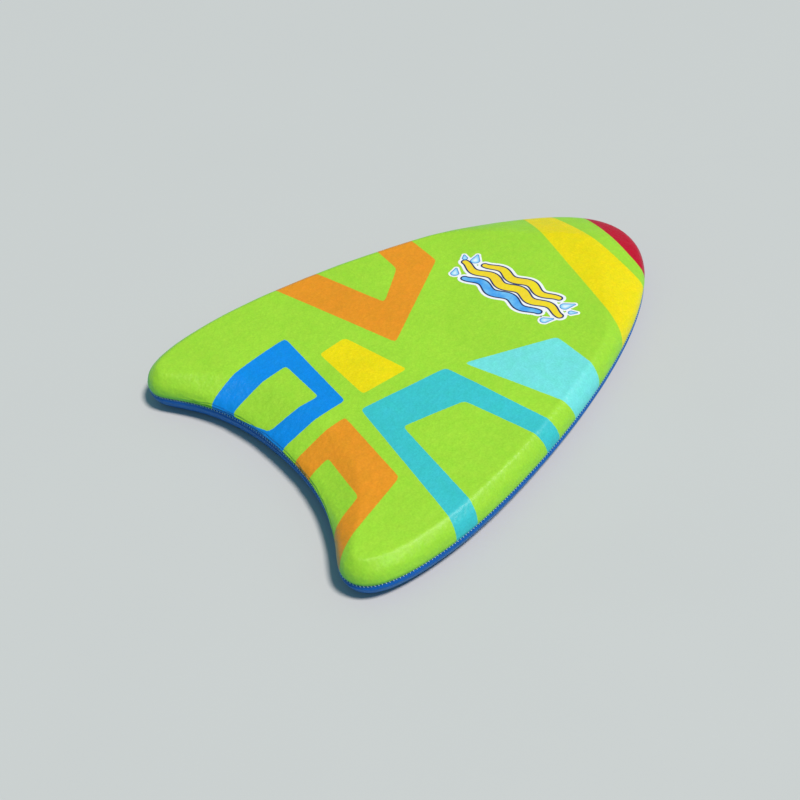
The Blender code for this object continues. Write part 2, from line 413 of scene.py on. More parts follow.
def upper_profiles(line):
    """Edge profile of every station from the seam to the flat top: insets and heights."""
    zones = ((SIDE_EDGE, 1 - line.fore - line.aft), (NOSE_EDGE, line.fore), (TAIL_EDGE, line.aft))

    def blend(pick):
        return sum(pick(edge) * weight for edge, weight in zones)[:, None]

    def pair(inset, height):
        return np.stack(np.broadcast_arrays(inset, height), axis=-1)

    angle = np.radians(blend(lambda edge: edge["slope"]))
    slope = pair(np.cos(angle), np.sin(angle)) * MM
    reach = [blend(lambda edge, i=i: edge["reach"][i])[..., None] for i in range(4)]
    foot = pair(np.zeros_like(angle), SEAM_Z)
    roll = pair(blend(lambda edge: edge["roll_in"]) * MM, blend(lambda edge: edge["roll_z"]) * MM)
    crest = pair(blend(lambda edge: edge["width"]) * MM, DECK_Z)
    t = np.linspace(0, 1, PROFILE_STEPS)[None, :, None]
    rise = np.array((0, MM))
    level = np.array((MM, 0))
    lower = cubic(foot, foot + rise * reach[0], roll - slope * reach[1], roll, t)[0]
    upper = cubic(roll, roll + slope * reach[2], crest - level * reach[3], crest, t)[0]
    return np.concatenate([lower, upper[:, 1:]], axis=1)


def lower_profiles(line):
    """Edge profile of every station from the seam to the flat underside: a quarter ellipse."""
    width = (UNDER_WIDTH_SIDE * (1 - line.aft) + UNDER_WIDTH_TAIL * line.aft)[:, None]
    angle = np.linspace(0, math.pi / 2, 2 * PROFILE_STEPS)[None, :]
    return np.stack([width * (1 - np.cos(angle)), SEAM_Z * (1 - np.sin(angle)) + 0 * width], axis=-1)


def placed(line, profile):
    """Rings in space from profiles (stations, rows, inset and height), one ring for each row."""
    plan = line.point[:, None] + line.inward[:, None] * profile[..., :1]
    return np.concatenate([plan, profile[..., 1:]], axis=-1).transpose(1, 0, 2)


def spine(line):
    """Points on the centre line where the rings of a face close, one for each station."""
    turn = 1 - abs(1 - 2 * line.along / line.length)
    share = (1 - SPINE_CROWDING) * turn + SPINE_CROWDING * turn ** 3
    return np.stack([0 * share, SPINE_FORE + (SPINE_AFT - SPINE_FORE) * share], axis=-1)


def field(line, edge_ring, rows):
    """Rings of the flat face from the spine to just inside its edge ring."""
    share = np.linspace(0, 1, rows, endpoint=False)[:, None, None]
    middle = np.concatenate([spine(line), edge_ring[:, 2:]], axis=1)
    return middle + (edge_ring - middle) * share


def edge_rows(profile):
    """Profile resampled from the fold to the crest, close rows first, with its lengths."""
    lengths = run_length(profile)
    start = FOLD_RADIUS + PARTING
    near = start + NEAR_PITCH * np.arange(NEAR_ROWS)
    rows = []
    wanted = []
    for length, points in zip(lengths, profile):
        far = np.linspace(near[-1], length[-1], FAR_ROWS + 1)[1:]
        wanted.append(np.concatenate([near, far]))
        rows.append(at_lengths(length, points, wanted[-1]))
    return np.array(rows), np.array(wanted)


def outward(grid, side):
    """Unit normals of a grid of rings that run outward over a face and down its edge."""
    across = np.roll(grid, -1, axis=1) - np.roll(grid, 1, axis=1)
    return unit(np.cross(across, np.gradient(grid, axis=0))) * side


# ---- cloth panels

def fold_rows(profile, side):
    """Turn of the cloth into the seam, then the two faces of its allowance."""
    rows = []
    start = profile[:, 0]
    for i in range(1, FOLD_ROWS + 1):
        angle = math.pi / 2 * i / FOLD_ROWS
        inset = start[:, 0] * (1 - i / FOLD_ROWS) + FOLD_RADIUS * (1 - math.cos(angle))
        height = SEAM_Z + side * (PARTING + FOLD_RADIUS * (1 - math.sin(angle)))
        rows.append(np.stack([inset, 0 * inset + height], axis=-1))
    for inset, lift in ((ALLOWANCE, 0), (ALLOWANCE, CLOTH), (2 * CLOTH, CLOTH)):
        rows.append(np.broadcast_to((inset, SEAM_Z + side * (PARTING + lift)), start.shape))
    return np.stack(rows, axis=1)


def inner_rows(profile, side):
    """Inner face of the cloth, from the allowance to the crest."""
    tangent = unit(np.gradient(profile, axis=1))
    inside = profile + np.stack([tangent[..., 1], -tangent[..., 0]], axis=-1) * side * CLOTH
    pick = np.linspace(NEAR_ROWS // 2, profile.shape[1] - 1, INNER_EDGE_ROWS).astype(int)
    return inside[:, pick]


def seam_relief(line, depth, seed):
    """Small puckers that the stitches draw into the cloth, fading away from the seam."""
    puckers = round(line.length / STITCH_PITCH) / 2
    phase = 2 * math.pi * puckers * line.along / line.length
    phase = phase + PUCKER_STRAY * waves(line.point, PUCKER_STRAY_PITCH, seed + 1)
    size = 1 - PUCKER_UNEVEN + PUCKER_UNEVEN * waves(line.point, PUCKER_UNEVEN_PITCH, seed)
    height = PUCKER * np.sin(phase) * size * np.exp(-depth / PUCKER_FADE)
    return height - PULL_IN * np.exp(-(depth / PULL_FADE) ** 2)


def hem_share(line):
    """Share of the tail folds at every station: whole in the notch, none past the lobes."""
    return smooth((HEM_REACH - abs(line.point[:, 0])) / HEM_FADE) * (line.aft > 0)


def gather_relief(line, grid, depth):
    """Wrinkles that the closing seam draws into the bevel above the tail wall."""
    straight = GATHER_STRAIGHT * waves(line.point, GATHER_PITCH, STRAIGHT_SEED)
    crumpled = (1 - GATHER_STRAIGHT) * waves(grid, GATHER_PITCH, CRUMPLED_SEED)
    size = GATHER * np.exp(-((depth - GATHER_MIDDLE) / GATHER_WIDTH) ** 2)
    return size * (straight + crumpled) * hem_share(line)


def hem_relief(line, grid):
    """Rolled folds with two wandering grooves along the tail wall, closed by hand."""
    height = np.zeros(grid.shape[:2])
    for lift, depth, half_width, seed in HEM_GROOVES:
        middle = HEM_Z + lift + HEM_WANDER * waves(line.point, HEM_WANDER_PITCH, seed)
        away = (grid[..., 2] - middle) / half_width
        size = 1 - HEM_UNEVEN + HEM_UNEVEN * waves(line.point, HEM_UNEVEN_PITCH, seed + 1)
        height += HEM_ROLL * np.exp(-(away / HEM_ROLL_SPREAD) ** 2) - depth * size * np.exp(-away ** 2)
    return height * hem_share(line)


def face_relief(line, grid, depth, swell, seeds):
    """Broad swell of a face, and the puckers at its seam."""
    broad = swell * waves(grid, SWELL_PITCH, seeds["swell"]) * smooth(depth / SWELL_START)
    return broad + seam_relief(line, depth, seeds["seam"])


def top_relief(line, grid, depth):
    tail = hem_relief(line, grid) + gather_relief(line, grid, depth)
    return face_relief(line, grid, depth, SWELL, TOP_SEEDS) + tail


def under_relief(line, grid, depth):
    return face_relief(line, grid, depth, SWELL / 2, UNDER_SEEDS)


def panel(name, line, profile, side, relief, seed, made):
    """One cover panel as a closed shell, with its cloth coordinates."""
    rows, lengths = edge_rows(profile)
    crest_inset = profile[:, -1, :1]
    cloth_inset = crest_inset - (lengths[:, -1:] - lengths)
    edge = placed(line, rows)[::-1]
    face = field(line, edge[0], FIELD_ROWS)
    outer = np.concatenate([face, edge])
    cloth = line.point + line.inward * cloth_inset.T[::-1, :, None]
    cloth = np.concatenate([face[..., :2], cloth])
    off_crest = np.linalg.norm(face - edge[0], axis=-1)
    depth = np.concatenate([off_crest + lengths[:, -1], lengths.T[::-1]])

    normal = np.zeros(outer.shape)
    normal[:FIELD_ROWS] = (0, 0, side)
    normal[FIELD_ROWS:] = outward(outer[FIELD_ROWS - 1:], side)[1:]
    height = relief(line, outer, depth)
    height = height + np.maximum(settle(outer, normal, seed), -SINK_LIMIT)
    outer = outer + normal * np.maximum(height, -DEEPEST)[..., None]
    outer[..., 2] = np.maximum(outer[..., 2], 0)

    fold = placed(line, fold_rows(rows, side))
    inside = placed(line, inner_rows(rows, side))
    lining = field(line, inside[-1], INNER_FIELD_ROWS)[::-1]
    rings = np.concatenate([outer, fold, inside, lining])
    spare = np.broadcast_to(cloth[-1], (len(rings) - len(cloth),) + line.point.shape)
    return shell(name, rings, side, made, np.concatenate([cloth, spare]))


def on_spine(count):
    """Right-hand station whose spine point each station shares."""
    return np.minimum(np.arange(count), count - np.arange(count))


def ring_faces(rows, count, close_last):
    """Quads between rings of stations; the first ring, and maybe the last, closes along the spine."""
    index = np.arange(rows * count).reshape(rows, count)
    index[0] = on_spine(count)
    if close_last:
        index[-1] = (rows - 1) * count + on_spine(count)
    after = np.roll(index, -1, axis=1)
    quads = np.stack([index[:-1], after[:-1], after[1:], index[1:]], axis=-1).reshape(-1, 4)
    used, quads = np.unique(quads, return_inverse=True)
    return used, quads.reshape(-1, 4)


def shell(name, rings, side, made, cloth):
    """Closed body through rings whose first and last members close along the spine."""
    used, quads = ring_faces(*rings.shape[:2], True)
    mesh = bpy.data.meshes.new(name)
    mesh.from_pydata(rings.reshape(-1, 3)[used].tolist(), [], quads[:, ::-1 if side > 0 else 1].tolist())
    flat = cloth.reshape(-1, 2)[used]
    add_vectors(mesh, "cloth", np.column_stack([flat, 0 * flat[:, 0]]))
    return show(name, mesh, made)


def foam_collider():
    """Copy of the foam core that the simulated cloth rests on."""
    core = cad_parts["foam_core"].copy()
    core.data = core.data.copy()
    bpy.context.scene.collection.objects.link(core)
    core.modifiers.new("foam", "COLLISION")
    core.collision.thickness_outer = SIM_CLEARANCE
    core.collision.cloth_friction = SIM_FRICTION
    return core


def trial_cloth(start, quads, seam, seed):
    """Coarse face as simulated cloth: seam held, cut a little slack in places and tight in others."""
    mesh = bpy.data.meshes.new("cloth_trial")
    mesh.from_pydata(start.tolist(), [], quads.tolist())
    trial = bpy.data.objects.new("cloth_trial", mesh)
    bpy.context.scene.collection.objects.link(trial)
    held = trial.vertex_groups.new(name="held")
    held.add(seam.tolist(), 1.0, "REPLACE")
    cut = trial.vertex_groups.new(name="cut")
    for i, share in enumerate(0.5 + 0.5 * np.clip(waves(start, SIM_PITCH, seed), -1, 1)):
        cut.add([i], float(share), "REPLACE")

    cloth = trial.modifiers.new("cloth", "CLOTH")
    cloth.settings.vertex_group_mass = "held"
    cloth.settings.vertex_group_shrink = "cut"
    for key, value in SIM_CLOTH.items():
        setattr(cloth.settings, key, value)
    cloth.settings.effector_weights.gravity = 0.0
    cloth.collision_settings.distance_min = SIM_CLEARANCE
    cloth.collision_settings.collision_quality = SIM_COLLISION_QUALITY
    cloth.point_cache.frame_end = SIM_FRAMES
    return trial


def simulated(trial):
    """Places of the trial's vertices after the run; the trial and the foam's copy are removed."""
    core = foam_collider()
    for number in range(1, SIM_FRAMES + 1):
        bpy.context.scene.frame_set(number)
    settled = trial.evaluated_get(bpy.context.evaluated_depsgraph_get()).to_mesh()
    ended = np.zeros(len(settled.vertices) * 3, np.float32)
    settled.vertices.foreach_get("co", ended)
    for thing in (trial, core):
        bpy.data.objects.remove(thing, do_unlink=True)
    bpy.context.scene.frame_set(1)
    return ended.reshape(-1, 3)


def settle(grid, normal, seed):
    """Lift of the outer face after its coarse copy has settled on the foam as cloth."""
    rows = np.unique(np.linspace(0, len(grid) - 1, SIM_ROWS).round().astype(int))
    coarse = grid[rows, ::SIM_STRIDE]
    count = coarse.shape[1]
    used, quads = ring_faces(len(rows), count, False)
    start = coarse.reshape(-1, 3)[used]
    seam = np.flatnonzero(used >= (len(rows) - 1) * count)

    move = np.zeros((len(rows) * count, 3))
    move[used] = simulated(trial_cloth(start, quads, seam, seed)) - start
    move = move.reshape(coarse.shape)
    move[0] = move[0, on_spine(count)]
    lift = (move * normal[rows, ::SIM_STRIDE]).sum(axis=-1)
    lift[1:-1] = (2 * lift[1:-1] + lift[:-2] + lift[2:]) / 4
    lift = (2 * lift + np.roll(lift, 1, axis=1) + np.roll(lift, -1, axis=1)) / 4
    return upsampled(SIM_CAP * np.tanh(lift / SIM_CAP), rows, grid.shape[:2])


def upsampled(coarse, rows, shape):
    """Coarse lifts spread over the full grid by smooth steps along stations and rows."""
    place = np.arange(shape[1]) / SIM_STRIDE
    low = place.astype(int)
    share = smooth(place - low)
    wide = coarse[:, low] * (1 - share) + coarse[:, (low + 1) % coarse.shape[1]] * share
    row = np.interp(np.arange(shape[0]), rows, np.arange(len(rows)))
    low = np.minimum(row.astype(int), len(rows) - 2)
    share = smooth(row - low)[:, None]
    return wide[low] * (1 - share) + wide[low + 1] * share


def add_values(mesh, name, values):
    mesh.attributes.new(name, "FLOAT", "POINT").data.foreach_set("value", values.astype(np.float32))


def add_vectors(mesh, name, vectors):
    stored = mesh.attributes.new(name, "FLOAT_VECTOR", "POINT").data
    stored.foreach_set("vector", vectors.astype(np.float32).ravel())


def show(name, mesh, made):
    mesh.shade_smooth()
    mesh.materials.append(made)
    thing = bpy.data.objects.new(name, mesh)
    bpy.context.scene.collection.objects.link(thing)
    return thing


# ---- printed pattern, as signed distances in millimetres

def inside_corners(points, corners, rounding):
    """Signed distance to a convex shape with rounded corners, negative inside."""
    corners = np.array(corners, float)
    centre = corners.mean(axis=0)
    total = 0
    for start, end in zip(corners, np.roll(corners, -1, axis=0)):
        normal = unit(np.array((end[1] - start[1], start[0] - end[0])))
        if (centre - start) @ normal > 0:
            normal = -normal
        power = (points - start) @ normal / rounding
        total = total + np.exp(np.clip(power, -LARGEST_POWER, LARGEST_POWER))
    return rounding * np.log(total)


def printed(points, shape):
    corners, hole = shape
    rounding = CORNER_SOFTNESS * PRINT_CORNER
    distance = inside_corners(points, corners, rounding)
    if hole:
        distance = np.maximum(distance, -inside_corners(points, hole, rounding))
    return distance


def beyond(points, line):
    """Signed distance to the part of the cloth ahead of a straight line across the nose."""
    height, rise = line
    return (height + rise * points[:, 0] - points[:, 1]) / math.hypot(1, rise)


def print_pattern(mesh):
    """Stores the distance to each ink on the cloth."""
    points = np.zeros(len(mesh.vertices) * 3, np.float32)
    mesh.attributes["cloth"].data.foreach_get("vector", points)
    points = points.reshape(-1, 3)[:, :2].astype(float) / MM
    stripe = np.maximum(beyond(points, YELLOW_START), -beyond(points, YELLOW_END))
    inks = {
        "orange": np.minimum(printed(points, ORANGE_CHEVRON), printed(points, ORANGE_ARCH)),
        "blue": printed(points, BLUE_RING),
        "yellow": np.minimum(printed(points, YELLOW_PATCH), stripe),
        "turquoise": printed(points, TURQUOISE_BAND),
        "cyan": printed(points, CYAN_WEDGE),
        "crimson": beyond(points, CRIMSON_START),
    }
    for ink, distance in inks.items():
        add_values(mesh, ink, distance)


# ---- shader nodes

class Nodes:
    """A node tree filled by short calls that return output sockets."""

    def __init__(self, tree):
        self.tree = tree

    def add(self, kind, output, inputs, **settings):
        node = self.tree.nodes.new("ShaderNode" + kind)
        for key, value in settings.items():
            setattr(node, key, value)
        for key, value in inputs.items():
            self.put(node.inputs[key], value)
        return node.outputs[output]

    def put(self, socket, value):
        if isinstance(value, bpy.types.NodeSocket):
            self.tree.links.new(value, socket)
        elif isinstance(value, tuple) and len(value) == 3 and socket.type == "RGBA":
            socket.default_value = (*value, 1.0)
        else:
            socket.default_value = value

    def math(self, operation, *values):
        return self.add("Math", 0, dict(enumerate(values)), operation=operation)

    def stored(self, name, output="Fac"):
        return self.add("Attribute", output, {}, attribute_name=name)

    def fade(self, value, start, end, low=0.0, high=1.0):
        inputs = {"Value": value, "From Min": start, "From Max": end, "To Min": low, "To Max": high}
        return self.add("MapRange", "Result", inputs)

    def mix(self, share, first, second, blend="MIX"):
        """Colour mix; the node's colour sockets are its seventh and eighth."""
        inputs = {0: share, 6: first, 7: second}
        return self.add("Mix", 2, inputs, data_type="RGBA", blend_type=blend)

    def noise(self, vector, pitch, detail=2.0):
        return self.add("TexNoise", "Fac", {"Vector": vector, "Scale": 1 / pitch, "Detail": detail})

    def clouds(self, vector, pitch, low=0.0, high=1.0, detail=3.0):
        """Noise spread over the range from low to high."""
        return self.fade(self.noise(vector, pitch, detail), *CLOUD_NOISE, low, high)

    def inked(self, colour, tint, distance, soft, reach=0.0):
        """A tint laid over a colour, up to a reach beyond the zero of a signed distance."""
        return self.mix(self.fade(distance, reach + soft, reach - soft), colour, tint)

    def bump(self, height, distance, strength=1.0, under=None):
        inputs = {"Height": height, "Distance": distance, "Strength": strength}
        if under is not None:
            inputs["Normal"] = under
        return self.add("Bump", "Normal", inputs)


class Look(Nodes):
    """A node material around one Principled shader."""

    def __init__(self, name):
        self.material = bpy.data.materials.new(name)
        self.material.use_nodes = True
        super().__init__(self.material.node_tree)

    def finish(self, colour, roughness, normal, more=None):
        shader = self.tree.nodes["Principled BSDF"]
        inputs = {"Base Color": colour, "Roughness": roughness, "Normal": normal, **(more or {})}
        for key, value in inputs.items():
            self.put(shader.inputs[key], value)
        return self.material


def knit_surface(look, where):
    """Normals of stretched knit over foam beads, and the heights of its loops and beads."""
    across = look.add("SeparateXYZ", "X", {"Vector": where})
    along = across.node.outputs["Y"]
    wale = look.math("PINGPONG", look.math("DIVIDE", across, KNIT_PITCH), 0.5)
    course = look.math("ADD", look.math("DIVIDE", along, KNIT_ASPECT * KNIT_PITCH), wale)
    course = look.math("SINE", look.math("MULTIPLY", course, 2 * math.pi))
    loops = look.math("MULTIPLY_ADD", course, COURSE_SHARE, look.math("MULTIPLY", wale, WALE_SHARE))
    cells = {"Vector": where, "Scale": 1 / BEAD_PITCH, "Smoothness": BEAD_SMOOTHNESS}
    beads = look.add("TexVoronoi", "Distance", cells, feature="SMOOTH_F1")
    crumple = look.noise(where, CRUMPLE_PITCH)
    normal = look.bump(beads, BEAD_DEPTH, RELIEF_STRENGTH)
    normal = look.bump(crumple, CRUMPLE_DEPTH, RELIEF_STRENGTH, normal)
    return look.bump(loops, LOOP_DEPTH, RELIEF_STRENGTH, normal), loops, beads


def shaded_cloth(look, colour, where, loops, beads):
    """Colour with dye variation, painted shadow in the low parts of the knit loops with their tops a little
    lighter, and painted shade between the foam beads with their middles a little lighter.
    """
    shade = look.math("MULTIPLY", look.clouds(where, *DYE), look.clouds(where, *GRAIN))
    # Painted shadow: darker in the low parts of the knit loops, a little lighter on their tops
    shade = look.math("MULTIPLY", shade, look.fade(loops, *LOOP_HEIGHTS, *LOOP_PAINTED_SHADE))
    # Painted shade: darker between the foam beads, a little lighter on their middles
    shade = look.math("MULTIPLY", shade, look.fade(beads, *BEAD_HEIGHTS, *BEAD_PAINTED_SHADE))
    pale = look.math("MULTIPLY", shade, look.clouds(where, *BLEACH))
    grey = look.add("CombineColor", "Color", {"Red": pale, "Green": shade, "Blue": pale})
    return look.mix(1.0, colour, grey, "MULTIPLY")


def knit(name, colour_of):
    look = Look(name)
    where = look.stored("cloth", "Vector")
    normal, loops, beads = knit_surface(look, where)
    colour = shaded_cloth(look, colour_of(look, where), where, loops, beads)
    rub = look.fade(look.noise(where, RUB_PITCH, 4.0), *RUB_NOISE, *CLOTH_ROUGHNESS)
    return look.finish(colour, rub, normal, CLOTH_FINISH)


def print_colours(look, where):
    """Lime ground with the printed inks, each edge a little uneven along the loops."""
    edge = look.fade(look.noise(where, INK_STRAY_PITCH, 1.0), *INK_NOISE, -INK_STRAY, INK_STRAY)
    colour = LIME
    inks = (("yellow", YELLOW), ("orange", ORANGE), ("blue", BLUE), ("turquoise", TURQUOISE),
            ("cyan", CYAN), ("crimson", CRIMSON))
    for ink, tint in inks:
        colour = look.inked(colour, tint, look.math("ADD", look.stored(ink), edge), INK_SOFT)
    return colour


def plain_colours(look, where):
    """Royal blue with faint darker clouds."""
    return look.mix(look.clouds(where, *NAVY_CLOUDS), ROYAL, NAVY)


def darker(tint, share):
    return tuple(share * channel for channel in tint)


def thread_look(name, tint):
    """Twisted polyester thread."""
    look = Look(name)
    where = look.add("TexCoord", "Object", {})
    wave = {"Vector": where, "Scale": TWIST_SCALE, "Distortion": TWIST_WARP}
    twist = look.add("TexWave", "Fac", wave, bands_direction="DIAGONAL")
    fuzz = look.clouds(where, FUZZ_PITCH, detail=2.0)
    colour = look.mix(look.fade(fuzz, 0.0, 1.0, 0.0, FUZZ_SHADE), tint, darker(tint, THREAD_DARKER))
    roughness = look.fade(fuzz, 0.0, 1.0, *THREAD_ROUGHNESS)
    return look.finish(colour, roughness, look.bump(twist, TWIST_DEPTH, TWIST_STRENGTH), THREAD_SHEEN)


def foam_look():
    """Moulded bead foam: pale cells with fine seams between them."""
    look = Look("bead_foam")
    where = look.add("TexCoord", "Object", {})
    cell = {"Vector": where, "Scale": 1 / BEAD_PITCH}
    wall = look.add("TexVoronoi", "Distance", cell, feature="DISTANCE_TO_EDGE")
    seam = look.fade(wall, 0.0, FOAM_SEAM_WIDTH)
    tone = look.mix(look.noise(where, FOAM_CLOUD_PITCH, 3.0), FOAM, FOAM_SHADE)
    colour = look.mix(seam, FOAM_SEAM, tone)
    roughness = look.fade(wall, 0.0, FOAM_CELL_REACH, *FOAM_ROUGHNESS)
    return look.finish(colour, roughness, look.bump(seam, FOAM_SEAM_DEPTH))


def film_look():
    """Satin transfer film: white ground, waves with navy outlines, and pale blue drops."""
    look = Look("emblem_film")
    where = look.stored("cloth", "Vector")
    wave = look.stored("wave")
    deep = look.stored("deep")
    drop = look.stored("drop")
    tone = look.clouds(where, FILM_CLOUD_PITCH)
    outline = look.math("MINIMUM", wave, deep)
    colour = look.mix(tone, WHITE, WHITE_SHADE)
    colour = look.inked(colour, NAVY, outline, EMBLEM_SOFT, EMBLEM_LINE)
    colour = look.inked(colour, look.mix(tone, GOLD, YELLOW), wave, EMBLEM_SOFT)
    colour = look.inked(colour, look.mix(tone, WATER, BLUE), deep, EMBLEM_SOFT)
    colour = look.inked(colour, ROYAL, drop, EMBLEM_SOFT, EMBLEM_DROP_LINE)
    colour = look.inked(colour, look.mix(look.fade(drop, *DROP_PALE), WATER_PALE, WATER), drop, EMBLEM_SOFT)
    roughness = look.fade(tone, 0.0, 1.0, *FILM_ROUGHNESS)
    return look.finish(colour, roughness, knit_surface(look, where)[0])


def floor_look():
    """Pale floor, neutral to the camera, that bounces the bluish light of a pool."""
    look = Look("pale_floor")
    where = look.add("TexCoord", "Object", {})
    mottle = look.clouds(where, FLOOR_CLOUD_PITCH, detail=4.0)
    colour = look.mix(mottle, FLOOR, darker(FLOOR, FLOOR_DARKER))
    colour = look.mix(look.add("LightPath", "Is Camera Ray", {}), FLOOR_BOUNCE, colour)
    grain = look.bump(look.noise(where, FLOOR_GRAIN_PITCH), FLOOR_GRAIN_DEPTH, FLOOR_GRAIN_STRENGTH)
    return look.finish(colour, look.fade(mottle, 0.0, 1.0, *FLOOR_ROUGHNESS), grain)


# ---- stitches

def tube(path, sideways, radius, sides):
    """Vertices and faces of a capsule along a path; sideways is any vector across it."""
    tangent = unit(np.gradient(path, axis=0))
    first = unit(np.cross(tangent, sideways))
    second = np.cross(tangent, first)
    turn = np.linspace(0, 2 * math.pi, sides, endpoint=False)[None, :, None]
    share = np.linspace(-1, 1, len(path))
    width = radius * np.sqrt(np.clip(1 - abs(share) ** THREAD_END_POWER, THREAD_END_WIDTH, 1))
    spokes = np.cos(turn) * first[:, None] + np.sin(turn) * second[:, None]
    rings = path[:, None] + width[:, None, None] * spokes
    faces = []
    last = (len(path) - 1) * sides
    for ring in range(0, last, sides):
        for side in range(sides):
            after = (side + 1) % sides
            faces.append((ring + side, ring + after, ring + sides + after, ring + sides + side))
    faces.append(tuple(reversed(range(sides))))
    faces.append(tuple(range(last, last + sides)))
    return rings.reshape(-1, 3), faces


def joined_tubes(name, tubes, made):
    points = []
    faces = []
    for part, part_faces in tubes:
        start = len(points)
        points.extend(part.tolist())
        faces.extend(tuple(start + i for i in face) for face in part_faces)
    mesh = bpy.data.meshes.new(name)
    mesh.from_pydata(points, [], faces)
    return show(name, mesh, made)


def seam_stitches(made):
    """Short leaning stitches that cross the cleft between the two panels."""
    count = round(seam_line(STATIONS).length / STITCH_PITCH)
    line = seam_line(count + count % 2)
    rng = np.random.default_rng(STITCH_SEED)
    share = np.linspace(-1, 1, STITCH_STEPS)
    tubes = []
    for point, inward in zip(line.point, line.inward):
        along = np.array((-inward[1], inward[0], 0))
        inset = STITCH_INSET + STITCH_DIVE * share ** 4 - STITCH_BOW * (1 - share ** 2)
        lean = STITCH_LEAN + STITCH_SCATTER * rng.standard_normal()
        slide = lean * share + STITCH_SCATTER * rng.standard_normal()
        path = np.zeros((STITCH_STEPS, 3))
        path[:, :2] = point + inward * inset[:, None]
        path[:, 2] = SEAM_Z + STITCH_HALF_HEIGHT * share
        path += along * slide[:, None]
        tubes.append(tube(path, along, THREAD_RADIUS, STITCH_SIDES))
    return joined_tubes("seam_stitches", tubes, made)


def tail_wall(cover, line):
    """Points of the cover on the line of the closing stitches, and the way inward at each."""
    near = np.flatnonzero((abs(line.point[:, 0]) < CLOSING_REACH) & (line.aft > 0))
    tree = BVHTree.FromObject(cover, bpy.context.evaluated_depsgraph_get())
    inward = np.column_stack([line.inward[near], 0 * near])
    points = []
    for place, way in zip(line.point[near], inward):
        start = Vector((*place, HEM_Z)) - WALL_SEARCH * Vector(way)
        points.append(tree.ray_cast(start, Vector(way))[0])
    return np.array(points), inward


def closing_stitches(cover, made):
    """Hand stitches along the tail wall, between the two hem grooves."""
    wall, inward = tail_wall(cover, seam_line(STATIONS))
    length = run_length(wall)
    rng = np.random.default_rng(CLOSING_SEED)
    share = np.linspace(-1, 1, STITCH_STEPS)
    tubes = []
    for middle in np.arange(CLOSING_PITCH, length[-1] - CLOSING_PITCH, CLOSING_PITCH):
        path = at_lengths(length, wall, middle + CLOSING_HALF_LENGTH * share * rng.uniform(*CLOSING_LENGTHS))
        sunk = (THREAD_RADIUS + CLOSING_SINK) * share ** 4 - THREAD_RADIUS
        path += inward[np.searchsorted(length, middle)] * sunk[:, None]
        path[:, 2] += CLOSING_SCATTER * rng.standard_normal()
        path[:, 2] += CLOSING_LEAN * rng.standard_normal() * share
        tubes.append(tube(path, (0, 0, 1), THREAD_RADIUS, STITCH_SIDES))
    return joined_tubes("closing_stitches", tubes, made)


# ---- emblem

def wave_stroke(u, v, height, half_length, half_width):
    """Distance to a wavy brush stroke that thins towards its round ends."""
    run = np.linspace(-half_length, half_length, WAVE_POINTS)
    crest = height + WAVE_HEIGHT * np.sin(2 * math.pi * run / WAVE_PITCH)
    width = half_width * (1 - STROKE_TAPER + STROKE_TAPER * np.cos(math.pi / 2 * run / half_length))
    return np.min([np.hypot(u - x, v - y) - w for x, y, w in zip(run, crest, width)], axis=0)


def drop_shape(u, v, x, y, radius, lean):
    """Distance to a drop with its tip up, leaning to one side."""
    length = DROP_LENGTH * radius
    tip = np.array((math.sin(lean), math.cos(lean))) * length
    share = np.clip(((u - x) * tip[0] + (v - y) * tip[1]) / length ** 2, 0, 1)
    return np.hypot(u - x - tip[0] * share, v - y - tip[1] * share) - radius * (1 - DROP_TAPER * share)


def nearest_mark(u, v, shape, marks):
    return np.min([shape(u, v, *mark) for mark in marks], axis=0)


def emblem_artwork():
    """Grid over the emblem, its distances to each kind of mark, and that to the film's edge."""
    steps = [round(2 * half / EMBLEM_CELL) + 1 for half in EMBLEM_HALF]
    sides = [np.linspace(-half, half, count) for half, count in zip(EMBLEM_HALF, steps)]
    u, v = np.meshgrid(*sides, indexing="ij")
    marks = {
        "wave": nearest_mark(u, v, wave_stroke, YELLOW_STROKES),
        "deep": nearest_mark(u, v, wave_stroke, BLUE_STROKES),
        "drop": nearest_mark(abs(u), v, drop_shape, EMBLEM_DROPS),
    }
    outlined = np.minimum(marks["wave"], marks["deep"]) - EMBLEM_LINE
    return u, v, marks, np.minimum(outlined, marks["drop"]) - EMBLEM_HALO


def trimmed(u, v, halo):
    """Grid with the points past the film's edge drawn back to it, and the quads on the film."""
    slope_u, slope_v = np.gradient(halo, EMBLEM_CELL)
    steep = np.maximum(np.hypot(slope_u, slope_v), EMBLEM_LEAST_SLOPE)
    shift = np.where(halo > 0, halo / steep, 0.0)
    index = np.arange(u.size).reshape(u.shape)
    corners = (index[:-1, :-1], index[1:, :-1], index[1:, 1:], index[:-1, 1:])
    quads = np.stack(corners, axis=-1).reshape(-1, 4)
    quads = quads[(halo.reshape(-1)[quads] < 0).any(axis=1)]
    return u - shift * slope_u / steep, v - shift * slope_v / steep, quads


def film_sides(quads, count):
    """Points on the open edge of a sheet of quads, and the quads between them and lower copies."""
    edges = np.concatenate([quads[:, (i, (i + 1) % 4)] for i in range(4)])
    _, first, times = np.unique(np.sort(edges, axis=1), axis=0, return_index=True, return_counts=True)
    edges = edges[first[times == 1]]
    rim, lower = np.unique(edges, return_inverse=True)
    return rim, np.column_stack([edges[:, ::-1], count + lower.reshape(-1, 2)])


